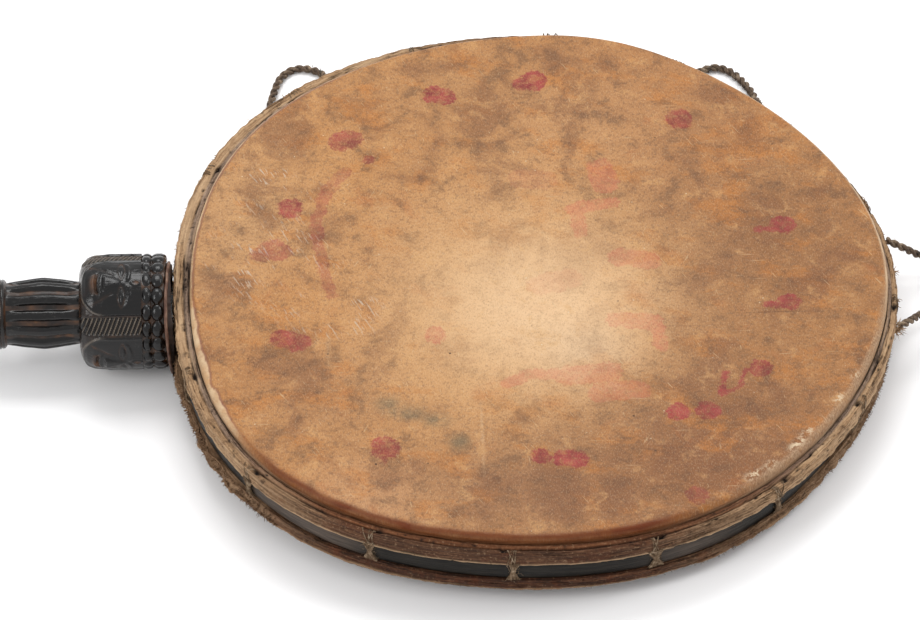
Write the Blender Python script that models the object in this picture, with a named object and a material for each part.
"""Two-skinned ritual frame drum with a carved handle, lying on a flat surface.

Metres, +Z up.  The drum is first modelled level, in its own frame: origin in the middle
of the lower skin, handle along -X.  The handle's carved head is thicker than the drum is
deep, so the object lies tilted, on the handle's crown and on the far edge of the lower
skin.  The tilt is worked out from the solids, and the origin ends up under the middle of
the object, on the surface it lies on.
"""
import math

import bmesh
import bpy
from mathutils import Matrix, Vector

# Drum, level frame.
HEAD_RADIUS = 0.205                 # mean radius of the skins' sides
OUT_OF_ROUND = (                    # order, share of the radius, direction in degrees
    (2, 0.005, 27.0),
    (3, 0.0125, -6.5),
    (4, 0.006, 43.5),
    (5, 0.0085, 4.5),
)
BULGE = 0.0033                      # warp of the rim at the back
BULGE_DIRECTION = 76.0              # degrees
BULGE_NARROWNESS = 31.0
DRUM_DEPTH = 0.043
SKIN = 0.001                        # thickness of both skins
EDGE_ROUND = 0.0035                 # radius of the skins' rounded edges
SKIN_HEM = 0.0004                   # how far a skin's side stops short of its hoop's edge
FRAME_WALL = 0.006
FRAME_CHAMFER = 0.0025
BAND_INSET = 0.0013                 # frame's band between the hoops, inside their outer side
CLEARANCE = 0.0003                  # gap between pieces that touch
RIM_STEPS = 64

# Hoops: outside the skins' sides, thicker by the handle and thinner at the back right.
HOOP_THICK = 0.0064
HOOP_SWELL = 0.0042
HOOP_SWELL_DIRECTION = 152.0        # degrees
HOOP_WEAR = 0.0035
HOOP_WEAR_DIRECTION = 40.0          # degrees
HOOP_EDGE = 0.0015                  # softened edges
UPPER_HOOP = (0.0265, 0.037)        # lowest and highest point
LOWER_HOOP = (0.006, 0.0165)

# Lacing knots between the hoops.
TIE_COUNT = 16
TIE_START = -95.0                   # degrees
TIE_WIDTH = 0.009
TIE_WAIST = 0.6
TIE_SIDES = 5
TIE_PROUD = 0.0008                  # how far the knots stand beyond the hoops' outer side

# Handle: distances run outwards from the collar's outer face, on the handle's axis.
AXIS_HEIGHT = 0.0215                # above the lower skin's underside
HANDLE_SIDES = 48
TONGUE_WIDTH = 0.030
TONGUE_INSET = 0.0002               # from the frame's inner wall
NECK_RADIUS = 0.0125
NECK_SHOULDER = 0.0012              # gap between the tongue's shoulder and the collar
NECK_STEP = 0.0004
COLLAR_OUT = 0.0148                 # collar's outer face beyond the skins' side
COLLAR_THICK = 0.002
COLLAR_RADIUS = 0.0330
COLLAR_BEND = 0.0021                # two opposite edges bend this far towards the drum
COLLAR_BEND_TURN = -43.0            # degrees round the handle's axis to those edges
COLLAR_SIDES = 30
CROWN_RADIUS = 0.0342
CROWN_LENGTH = 0.0074
CROWN_EDGE = 0.0015
CARVED_HEAD_LENGTH = 0.0420
CARVED_HEAD_RADIUS = 0.0335
HEAD_STEP = 0.0020                  # how far the head starts inside the crown
HEAD_PROFILE = (                    # share of the length, share of the radius
    (0.04, 0.975), (0.14, 1.0), (0.6, 1.0), (0.83, 0.955), (0.92, 0.895), (0.975, 0.80),
    (1.0, 0.68),
)
FACE_COUNT = 4
FACE_TURN = -14.0                   # degrees from level, front side
FACE_SWELL = 0.01                   # shares of the head's radius
BAND_DEPTH = 0.035
BAND_SHARE = 0.22
GRIP_LENGTH = 0.0403
GRIP_END_RADIUS = 0.0182
GRIP_MIDDLE_RADIUS = 0.0210
GRIP_STEP = 0.0012
GRIP_ROWS = 6
FLUTES = 12
FLUTE_DEPTH = 0.0016
BEAD_RADIUS = 0.0207
BEAD_LENGTH = 0.012
BEAD_PROFILE = ((0.0, 0.88), (0.18, 0.97), (0.5, 1.0), (0.82, 0.97), (1.0, 0.85))
WAIST_RADIUS = 0.0135
WAIST_LENGTH = 0.010
KNOP_RADIUS = 0.0195
KNOP_LENGTH = 0.030
BLADE_LENGTH = 0.150
BLADE_ROOT = 0.0185
BLADE_TIP = 0.0045
BLADE_HOLLOW = 0.52                 # share of the radius between the three ridges
BLADE_SHARES = (0.03, 0.12, 0.4, 0.7, 0.94)

# Cord loops: each point is an angle round the drum in degrees, metres out from the
# upper hoop's outer side, and metres above the surface the object lies on.
CORD = 0.0046
CORD_BEVEL_RESOLUTION = 2
CORD_STEP = 2.4                     # diameters between the tube's points
CORD_ROUTES = {
    "cord_loop_end": (
        (10.4, 0.0020, 0.0290), (9.6, 0.0062, 0.0278), (9.2, 0.0112, 0.0248),
        (9.0, 0.0172, 0.0203), (8.7, 0.0250, 0.0148), (8.3, 0.0344, 0.0090),
        (7.7, 0.0438, 0.0047), (6.6, 0.0515, 0.0027), (4.9, 0.0554, 0.0024),
        (3.0, 0.0542, 0.0024), (1.6, 0.0480, 0.0028), (0.8, 0.0392, 0.0050),
        (-0.1, 0.0298, 0.0094), (-1.6, 0.0212, 0.0150), (-3.8, 0.0142, 0.0210),
        (-6.2, 0.0083, 0.0258), (-8.3, 0.0022, 0.0288),
    ),
    "cord_loop_back_left": (
        (131.2, 0.0018, 0.0290), (131.1, 0.0085, 0.0262), (130.9, 0.0150, 0.0190),
        (130.3, 0.0205, 0.0115), (129.5, 0.0262, 0.0055), (128.4, 0.0320, 0.0027),
        (127.2, 0.0372, 0.0024), (126.0, 0.0420, 0.0024), (124.7, 0.0472, 0.0024),
        (123.3, 0.0518, 0.0024), (121.8, 0.0540, 0.0024), (120.4, 0.0530, 0.0024),
        (119.2, 0.0485, 0.0024), (118.4, 0.0420, 0.0024), (118.5, 0.0350, 0.0026),
        (119.3, 0.0275, 0.0050), (120.4, 0.0208, 0.0110), (121.5, 0.0148, 0.0190),
        (122.3, 0.0085, 0.0262), (122.7, 0.0018, 0.0290),
    ),
    "cord_loop_back_right": (
        (64.0, 0.0020, 0.0290), (63.9, 0.0088, 0.0262), (63.7, 0.0150, 0.0190),
        (63.4, 0.0208, 0.0115), (63.0, 0.0266, 0.0055), (62.5, 0.0322, 0.0027),
        (61.8, 0.0368, 0.0024), (60.7, 0.0402, 0.0024), (59.2, 0.0412, 0.0024),
        (57.5, 0.0398, 0.0024), (55.8, 0.0370, 0.0024), (54.2, 0.0338, 0.0024),
        (52.8, 0.0296, 0.0028), (51.5, 0.0248, 0.0056), (50.5, 0.0198, 0.0112),
        (49.7, 0.0142, 0.0190), (49.1, 0.0082, 0.0262), (48.8, 0.0020, 0.0290),
    ),
}

# Colour, roughness.
FINISHES = {
    "tan_skin": ((0.46, 0.25, 0.11), 0.55),
    "hairy_skin": ((0.16, 0.08, 0.04), 0.90),
    "dark_frame_wood": ((0.03, 0.027, 0.025), 0.60),
    "brown_hoop": ((0.22, 0.12, 0.06), 0.80),
    "grey_fibre": ((0.38, 0.33, 0.26), 0.95),
    "black_carved_wood": ((0.02, 0.018, 0.017), 0.25),
    "red_brown_collar": ((0.20, 0.08, 0.045), 0.65),
    "dark_cord": ((0.07, 0.05, 0.04), 0.90),
}


def clear_scene():
    for old in list(bpy.data.objects):
        bpy.data.objects.remove(old, do_unlink=True)


def make_material(name):
    colour, roughness = FINISHES[name]
    material = bpy.data.materials.new(name)
    material.use_nodes = True
    shader = material.node_tree.nodes["Principled BSDF"]
    shader.inputs["Base Color"].default_value = (*colour, 1.0)
    shader.inputs["Roughness"].default_value = roughness
    shader.inputs["Metallic"].default_value = 0.0
    return material


def add_mesh(name, verts, faces, material):
    """A closed body with its faces turned outwards."""
    mesh = bpy.data.meshes.new(name)
    mesh.from_pydata(verts, [], faces)
    work = bmesh.new()
    work.from_mesh(mesh)
    bmesh.ops.recalc_face_normals(work, faces=work.faces)
    work.to_mesh(mesh)
    work.free()
    mesh.shade_smooth()
    mesh.set_sharp_from_angle(angle=math.radians(35.0))
    body = bpy.data.objects.new(name, mesh)
    bpy.context.scene.collection.objects.link(body)
    body.data.materials.append(make_material(material))
    return body


def closeness(angle, direction, power):
    """1 in a direction given in degrees, falling to 0 on the far side."""
    return (0.5 + 0.5 * math.cos(angle - math.radians(direction))) ** power


def rim_radius(angle):
    """Radius of the skins' side at an angle in radians."""
    wave = sum(share * math.cos(order * (angle - math.radians(turn)))
               for order, share, turn in OUT_OF_ROUND)
    away = 1.0 - math.cos(angle - math.radians(BULGE_DIRECTION))
    return HEAD_RADIUS * (1.0 + wave) + BULGE * math.exp(-BULGE_NARROWNESS * away)


def rim_point(angle, out, height):
    radius = rim_radius(angle) + out
    return Vector((radius * math.cos(angle), radius * math.sin(angle), height))


def rim_angles():
    return [2.0 * math.pi * i / RIM_STEPS for i in range(RIM_STEPS)]


def hoop_outside(angle):
    """How far the hoops' outer side stands beyond the skins' side."""
    swell = HOOP_SWELL * closeness(angle, HOOP_SWELL_DIRECTION, 5)
    wear = HOOP_WEAR * closeness(angle, HOOP_WEAR_DIRECTION, 8)
    return CLEARANCE + HOOP_THICK + swell - wear


def around_rim(profile):
    """Rows of points: one profile for each angle round the drum."""
    return [[rim_point(angle, out, height) for out, height in profile]
            for angle in rim_angles()]


def bridged(rows, close_profile):
    """Points and quads between neighbouring rows, the last row joining the first."""
    count = len(rows[0])
    verts = [point for row in rows for point in row]
    faces = []
    last = count if close_profile else count - 1
    for i in range(len(rows)):
        a = i * count
        b = ((i + 1) % len(rows)) * count
        for j in range(last):
            k = (j + 1) % count
            faces.append((a + j, a + k, b + k, b + j))
    return verts, faces


def lofted(rows):
    """Points and faces of a solid through rows of equal length, with flat ends."""
    count = len(rows[0])
    verts = [point for row in rows for point in row]
    faces = [tuple(range(count))]
    for level in range(len(rows) - 1):
        a = level * count
        b = a + count
        for i in range(count):
            k = (i + 1) % count
            faces.append((a + i, a + k, b + k, b + i))
    faces.append(tuple(range(len(verts) - count, len(verts))))
    return verts, faces


def rounded_corner(out, height, radius, upwards, steps):
    """Quarter circle from the flat face to the side, round an outer corner."""
    points = []
    for i in range(steps + 1):
        turn = 0.5 * math.pi * i / steps
        points.append((out - radius * (1.0 - math.sin(turn)),
                       height - upwards * radius * (1.0 - math.cos(turn))))
    return points


def make_skin(name, face, side_end, upwards, material):
    """Flat skin with a rounded edge, and a side that ends behind its hoop."""
    outer = rounded_corner(0.0, face, EDGE_ROUND, upwards, 2)
    inner = rounded_corner(-SKIN, face - upwards * SKIN, EDGE_ROUND - SKIN, upwards, 1)
    profile = outer + [(0.0, side_end), (-SKIN, side_end)] + inner[::-1]
    verts, faces = bridged(around_rim(profile), close_profile=False)
    count = len(profile)
    faces.append([i * count for i in range(RIM_STEPS)])
    faces.append([i * count + count - 1 for i in range(RIM_STEPS)])
    return add_mesh(name, verts, faces, material)


def band_outside(angle):
    """Outer side of the frame's band, nearly flush with the hoops."""
    return hoop_outside(angle) - BAND_INSET


def make_frame():
    """Wooden ring inside the skins, with a band out between the hoops and the tongue's slot."""
    outer = -SKIN - CLEARANCE
    inner = outer - FRAME_WALL
    low = SKIN + CLEARANCE
    high = DRUM_DEPTH - SKIN - CLEARANCE
    band_low, band_high = gap_heights()
    rows = []
    for angle in rim_angles():
        band = band_outside(angle)
        profile = [
            (inner, low), (outer - FRAME_CHAMFER, low), (outer, low + FRAME_CHAMFER),
            (outer, band_low), (band, band_low), (band, band_high), (outer, band_high),
            (outer, high - FRAME_CHAMFER), (outer - FRAME_CHAMFER, high), (inner, high),
        ]
        rows.append([rim_point(angle, out, height) for out, height in profile])
    verts, faces = bridged(rows, close_profile=True)
    frame = add_mesh("frame", verts, faces, "dark_frame_wood")
    cutter = tongue_cutter()
    slot = frame.modifiers.new("tongue_slot", "BOOLEAN")
    slot.operation = "DIFFERENCE"
    slot.solver = "EXACT"
    slot.object = cutter
    return frame, cutter


def tongue_cutter():
    """Box that opens the frame where the handle's tongue goes in."""
    mesh = bpy.data.meshes.new("tongue_cutter")
    work = bmesh.new()
    bmesh.ops.create_cube(work, size=1.0)
    low, high = gap_heights()
    size = Vector((5.0 * FRAME_WALL, TONGUE_WIDTH + 2.0 * CLEARANCE, high - low + 2.0 * CLEARANCE))
    bmesh.ops.scale(work, vec=size, verts=work.verts)
    centre = Vector((-rim_radius(math.pi), 0.0, 0.5 * (low + high)))
    bmesh.ops.translate(work, vec=centre, verts=work.verts)
    work.to_mesh(mesh)
    work.free()
    cutter = bpy.data.objects.new("tongue_cutter", mesh)
    bpy.context.scene.collection.objects.link(cutter)
    cutter.hide_render = True
    cutter.display_type = "WIRE"
    return cutter


def make_hoop(name, span):
    """Rounded flat hoop, just outside the skin's side."""
    low, high = span
    rows = []
    for angle in rim_angles():
        outer = hoop_outside(angle)
        profile = [
            (CLEARANCE, low), (outer - HOOP_EDGE, low), (outer, low + HOOP_EDGE),
            (outer, high - HOOP_EDGE), (outer - HOOP_EDGE, high), (CLEARANCE, high),
        ]
        rows.append([rim_point(angle, out, height) for out, height in profile])
    verts, faces = bridged(rows, close_profile=True)
    return add_mesh(name, verts, faces, "brown_hoop")


def gap_heights():
    """Lowest and highest point of what fits between the hoops."""
    return LOWER_HOOP[1] + CLEARANCE, UPPER_HOOP[0] - CLEARANCE


def tie_angles():
    """Angles of the knots; none sits where the handle goes in."""
    step = 360.0 / TIE_COUNT
    turns = [TIE_START + step * i for i in range(TIE_COUNT)]
    return [math.radians(turn) for turn in turns if abs(turn % 360.0 - 180.0) > 0.5 * step]


def make_tie(index, angle):
    """Knot of fibre on the frame's band, between the hoops and pinched in the middle."""
    low, high = gap_heights()
    back = band_outside(angle) + CLEARANCE
    front = hoop_outside(angle) + TIE_PROUD
    rows = []
    for height, share in ((low, 1.0), (0.5 * (low + high), TIE_WAIST), (high, 1.0)):
        row = []
        for i in range(TIE_SIDES):
            turn = 2.0 * math.pi * (i + 0.5) / TIE_SIDES
            out = 0.5 * (back + front) + 0.5 * (front - back) * share * math.cos(turn)
            side = 0.5 * TIE_WIDTH * share * math.sin(turn)
            row.append(rim_point(angle + side / rim_radius(angle), out, height))
        rows.append(row)
    verts, faces = lofted(rows)
    return add_mesh(f"tie_{index:02d}", verts, faces, "grey_fibre")


def seat_distance(side, out):
    """Distance from the drum's centre to the rim's curve, level with a side offset."""
    angle = math.pi - math.asin(side / (HEAD_RADIUS + out))
    return -rim_point(angle, out, 0.0).x


def saddle_distance(side, rise, out):
    """The same for the warped collar, and for the crown that sits on it."""
    turn = math.radians(COLLAR_BEND_TURN)
    across = side * math.cos(turn) + rise * math.sin(turn)
    return seat_distance(0.0, out) - COLLAR_BEND * (across / COLLAR_RADIUS) ** 2


def along_handle(distance, side, rise):
    """X of a point of the handle: the collar's warp near the drum, straight further out."""
    bent = max(0.0, 1.0 - distance / CROWN_LENGTH)
    straight = saddle_distance(0.0, 0.0, COLLAR_OUT)
    warped = saddle_distance(side, rise, COLLAR_OUT)
    return -(bent * warped + (1.0 - bent) * straight + distance)


def plain_section(radius):
    return lambda turn: radius


def face_section(scale):
    """Carved head: rounded lobes with a sunk band between each pair."""
    def radius(turn):
        lobe = 0.5 + 0.5 * math.cos(FACE_COUNT * (turn - math.radians(FACE_TURN)))
        sunk = 1.0 - min(1.0, lobe / BAND_SHARE)
        return scale * CARVED_HEAD_RADIUS * (1.0 - BAND_DEPTH * sunk + FACE_SWELL * (lobe - 0.5))
    return radius


def fluted_section(size, depth):
    def radius(turn):
        return size - depth * (0.5 - 0.5 * math.cos(FLUTES * turn)) ** 1.5
    return radius


def blade_section(size):
    """Three blunt ridges with hollow sides."""
    def radius(turn):
        ridge = (0.5 + 0.5 * math.cos(3.0 * turn)) ** 1.6
        return size * (BLADE_HOLLOW + (1.0 - BLADE_HOLLOW) * ridge)
    return radius


def grip_stations(start):
    stations = [(start, plain_section(GRIP_END_RADIUS - GRIP_STEP))]
    for i in range(GRIP_ROWS):
        share = 0.02 + 0.96 * i / (GRIP_ROWS - 1)
        swell = 1.0 - abs(2.0 * share - 1.0) ** 1.2
        size = GRIP_END_RADIUS + (GRIP_MIDDLE_RADIUS - GRIP_END_RADIUS) * swell
        depth = FLUTE_DEPTH * (0.55 + 0.45 * swell)
        stations.append((start + share * GRIP_LENGTH, fluted_section(size, depth)))
    return stations


def knop_stations(start):
    stations = []
    for share in (0.0, 0.2, 0.5, 0.8, 1.0):
        swell = math.sin(math.pi * (0.12 + 0.76 * share))
        section = fluted_section(KNOP_RADIUS * swell, 0.6 * FLUTE_DEPTH * swell)
        stations.append((start + share * KNOP_LENGTH, section))
    return stations


def blade_stations(start):
    stations = []
    for share in BLADE_SHARES:
        size = BLADE_TIP + (BLADE_ROOT - BLADE_TIP) * (1.0 - share ** 1.15)
        stations.append((start + share * BLADE_LENGTH, blade_section(size)))
    stations.append((start + BLADE_LENGTH, blade_section(0.6 * BLADE_TIP)))
    return stations


def handle_stations():
    """Distances from the collar, each with its section's radius as a function of the turn."""
    stations = [
        (0.0, plain_section(CROWN_RADIUS - CROWN_EDGE)),
        (CROWN_EDGE, plain_section(CROWN_RADIUS)),
        (CROWN_LENGTH - CROWN_EDGE, plain_section(CROWN_RADIUS)),
        (CROWN_LENGTH, plain_section(CARVED_HEAD_RADIUS - HEAD_STEP)),
    ]
    start = CROWN_LENGTH
    for share, scale in HEAD_PROFILE:
        stations.append((start + share * CARVED_HEAD_LENGTH, face_section(scale)))
    start += CARVED_HEAD_LENGTH
    stations += grip_stations(start)
    start += GRIP_LENGTH
    for share, scale in BEAD_PROFILE:
        stations.append((start + share * BEAD_LENGTH, plain_section(scale * BEAD_RADIUS)))
    start += BEAD_LENGTH
    for share in (0.2, 0.8):
        stations.append((start + share * WAIST_LENGTH, plain_section(WAIST_RADIUS)))
    start += WAIST_LENGTH
    stations += knop_stations(start)
    start += KNOP_LENGTH
    return stations + blade_stations(start)


def box_point(turn, half_width, half_height):
    """Point on a rectangle's outline in the direction of a turn."""
    side = math.cos(turn)
    rise = math.sin(turn)
    reach = 1.0 / max(abs(side) / half_width, abs(rise) / half_height)
    return side * reach, rise * reach


def tongue_rows(turns):
    """Flat tongue between the hoops, from inside the frame's wall to the neck's shoulder."""
    low, high = gap_heights()
    rows = []
    for out in (TONGUE_INSET - SKIN - CLEARANCE - FRAME_WALL,
                COLLAR_OUT - COLLAR_THICK - NECK_SHOULDER):
        row = []
        for turn in turns:
            side, rise = box_point(turn, 0.5 * TONGUE_WIDTH, 0.5 * (high - low))
            row.append(Vector((-seat_distance(side, out), -side, 0.5 * (low + high) + rise)))
        rows.append(row)
    return rows


def neck_rows(turns):
    """Round neck through the collar's hole."""
    rows = []
    for out in (COLLAR_OUT - COLLAR_THICK - NECK_SHOULDER + NECK_STEP, COLLAR_OUT + CLEARANCE):
        row = []
        for turn in turns:
            side = NECK_RADIUS * math.cos(turn)
            rise = NECK_RADIUS * math.sin(turn)
            row.append(Vector((-saddle_distance(side, rise, out), -side, AXIS_HEIGHT + rise)))
        rows.append(row)
    return rows


def make_handle():
    """Tongue, neck, crown, carved head, grip and blade, all one piece of wood."""
    turns = [2.0 * math.pi * (i + 0.5) / HANDLE_SIDES for i in range(HANDLE_SIDES)]
    rows = tongue_rows(turns) + neck_rows(turns)
    for distance, section in handle_stations():
        row = []
        for turn in turns:
            side = section(turn) * math.cos(turn)
            rise = section(turn) * math.sin(turn)
            x = along_handle(distance + CLEARANCE, side, rise)
            row.append(Vector((x, -side, AXIS_HEIGHT + rise)))
        rows.append(row)
    verts, faces = lofted(rows)
    return add_mesh("handle", verts, faces, "black_carved_wood")


def make_collar():
    """Washer between the crown and the hoops, bent to the drum's curve."""
    radii = (NECK_RADIUS + CLEARANCE, 0.6 * COLLAR_RADIUS, COLLAR_RADIUS)
    inner_face = [(radius, COLLAR_OUT - COLLAR_THICK) for radius in radii]
    outer_face = [(radius, COLLAR_OUT) for radius in radii[::-1]]
    rows = []
    for i in range(COLLAR_SIDES):
        turn = 2.0 * math.pi * i / COLLAR_SIDES
        row = []
        for radius, out in inner_face + outer_face:
            side = radius * math.cos(turn)
            rise = radius * math.sin(turn)
            row.append(Vector((-saddle_distance(side, rise, out), -side, AXIS_HEIGHT + rise)))
        rows.append(row)
    verts, faces = bridged(rows, close_profile=True)
    return add_mesh("collar", verts, faces, "red_brown_collar")


def smooth_route(points, step):
    """Evenly spaced points on a Catmull-Rom curve through a route's points."""
    dense = []
    ends = [2.0 * points[0] - points[1]] + list(points) + [2.0 * points[-1] - points[-2]]
    for i in range(1, len(ends) - 2):
        before, start, stop, after = ends[i - 1:i + 3]
        for k in range(20):
            t = k / 20.0
            dense.append(0.5 * (2.0 * start + (stop - before) * t
                                + (2.0 * before - 5.0 * start + 4.0 * stop - after) * t ** 2
                                + (3.0 * start - before - 3.0 * stop + after) * t ** 3))
    dense.append(points[-1])
    lengths = [0.0]
    for a, b in zip(dense, dense[1:]):
        lengths.append(lengths[-1] + (b - a).length)
    count = max(2, round(lengths[-1] / step))
    spaced = []
    j = 0
    for i in range(count + 1):
        target = lengths[-1] * i / count
        while j < len(lengths) - 2 and lengths[j + 1] < target:
            j += 1
        share = (target - lengths[j]) / (lengths[j + 1] - lengths[j])
        spaced.append(dense[j].lerp(dense[j + 1], min(1.0, share)))
    return spaced


def make_cord(name, route):
    points = []
    for degrees, out, height in route:
        angle = math.radians(degrees)
        points.append(rim_point(angle, hoop_outside(angle) + out, height))
    curve = bpy.data.curves.new(name, "CURVE")
    curve.dimensions = "3D"
    curve.bevel_depth = 0.5 * CORD
    curve.bevel_resolution = CORD_BEVEL_RESOLUTION
    curve.use_fill_caps = True
    spaced = smooth_route(points, CORD_STEP * CORD)
    spline = curve.splines.new("POLY")
    spline.points.add(len(spaced) - 1)
    for target, point in zip(spline.points, spaced):
        target.co = (*point, 1.0)
    cord = bpy.data.objects.new(name, curve)
    bpy.context.scene.collection.objects.link(cord)
    curve.materials.append(make_material("dark_cord"))
    return cord


def lowest(points, tilt):
    turned = Matrix.Rotation(tilt, 3, "Y")
    return min((turned @ point).z for point in points)


def resting_tilt(handle, lower_skin):
    """Tilt at which the handle and the lower skin touch the surface together."""
    handle_points = [vert.co.copy() for vert in handle.data.vertices]
    skin_points = [vert.co.copy() for vert in lower_skin.data.vertices]
    low, high = 0.0, math.radians(5.0)
    for _ in range(40):
        middle = 0.5 * (low + high)
        if lowest(handle_points, middle) < lowest(skin_points, middle):
            low = middle
        else:
            high = middle
    return 0.5 * (low + high)


def add_empty(name, location):
    empty = bpy.data.objects.new(name, None)
    bpy.context.scene.collection.objects.link(empty)
    empty.location = location
    return empty


def lay_down(pieces, cutter, cords, handle, lower_skin):
    """Tilt the object onto its two resting places and centre it over the origin."""
    tilt = resting_tilt(handle, lower_skin)
    turned = Matrix.Rotation(tilt, 3, "Y")
    corners = [turned @ vert.co for piece in pieces for vert in piece.data.vertices]
    low = Vector([min(corner[i] for corner in corners) for i in range(3)])
    high = Vector([max(corner[i] for corner in corners) for i in range(3)])
    middle = 0.5 * (low + high)
    drum_frame = add_empty("lying_drum", (-middle.x, -middle.y, -low.z))
    drum_frame.rotation_euler = (0.0, tilt, 0.0)
    for piece in pieces + [cutter]:
        piece.parent = drum_frame
    hoop_centre = turned @ Vector((0.0, 0.0, 0.5 * sum(UPPER_HOOP)))
    under_hoop = (hoop_centre.x - middle.x, -middle.y, 0.0)
    surface_frame = add_empty("surface_under_upper_hoop", under_hoop)
    for cord in cords:
        cord.parent = surface_frame


def main():
    clear_scene()
    upper_end = UPPER_HOOP[0] + SKIN_HEM
    lower_end = LOWER_HOOP[1] - SKIN_HEM
    upper_skin = make_skin("upper_skin", DRUM_DEPTH, upper_end, 1.0, "tan_skin")
    lower_skin = make_skin("lower_skin", 0.0, lower_end, -1.0, "hairy_skin")
    frame, cutter = make_frame()
    hoops = [make_hoop("upper_hoop", UPPER_HOOP), make_hoop("lower_hoop", LOWER_HOOP)]
    ties = [make_tie(i + 1, angle) for i, angle in enumerate(tie_angles())]
    handle = make_handle()
    collar = make_collar()
    cords = [make_cord(name, route) for name, route in CORD_ROUTES.items()]
    pieces = [upper_skin, lower_skin, frame, handle, collar] + hoops + ties
    lay_down(pieces, cutter, cords, handle, lower_skin)


main()
